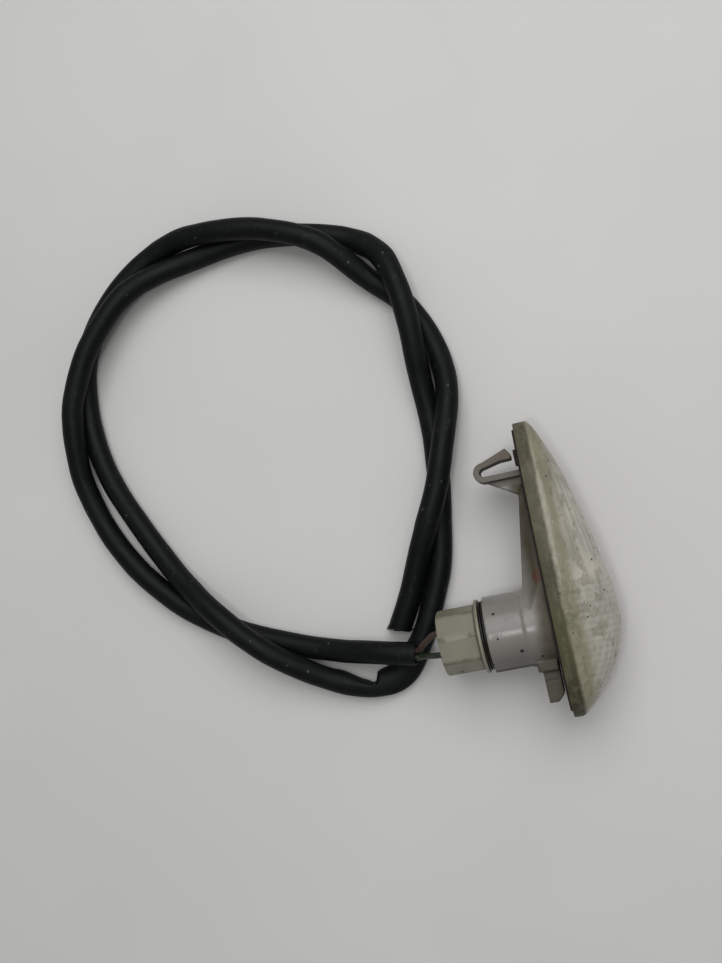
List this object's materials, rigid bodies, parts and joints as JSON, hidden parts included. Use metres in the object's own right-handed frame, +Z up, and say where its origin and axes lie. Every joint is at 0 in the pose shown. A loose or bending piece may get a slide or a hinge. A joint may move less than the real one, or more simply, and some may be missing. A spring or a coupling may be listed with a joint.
{
  "type": "side repeater lamp",
  "caption": "Side repeater lamp for a road vehicle: leaf-shaped lens, moulded housing with spring clip and tongue, twist-in bulb holder, and a soft sleeve of wires lying in a loose loop.",
  "frame": {"origin": "middle of the lamp's own footprint on the surface it lies on, the sleeve and wires left out", "axes": "+X out through the lens, away from the panel that the lamp is fitted to; +Y along the lens to its narrow tip; +Z up from the surface, across the lens"},
  "size_m": [0.207, 0.2213, 0.04],
  "materials": {
    "lens_plastic": "hazy and scratched",
    "sealant": "dull",
    "housing_plastic": "satin, moulded",
    "gasket_foam": "dull foam",
    "holder_plastic": "satin, moulded",
    "seal_rubber": "satin",
    "terminal_metal": "rolled strip",
    "port_rubber": "dull",
    "bulb_glass": "clear, amber coated",
    "bead_glass": "clear",
    "filament_metal": "drawn wire",
    "lead_metal": "drawn wire",
    "strand_copper": "bare copper strands",
    "wire_brown_cover": "smooth, dusty",
    "wire_green_cover": "smooth, dusty",
    "sleeve_plastic": "smooth with a faint sheen"
  },
  "bodies": {
    "root": {"lens": "lens_plastic", "lens_sealant": "sealant", "housing": "housing_plastic", "panel_gasket": "gasket_foam", "holder_body": "holder_plastic", "holder_seal": "seal_rubber", "terminal_live": "terminal_metal", "terminal_earth": "terminal_metal", "wire_seal_live": "port_rubber", "wire_seal_earth": "port_rubber", "bulb_glass": "bulb_glass", "bulb_bead": "bead_glass", "bulb_filament": "filament_metal", "bulb_lead_live": "lead_metal", "bulb_lead_earth": "lead_metal", "core_live": "strand_copper", "core_earth": "strand_copper", "wire_brown": "wire_brown_cover", "wire_green": "wire_green_cover", "sleeve": "sleeve_plastic"}
  },
  "joints": []
}
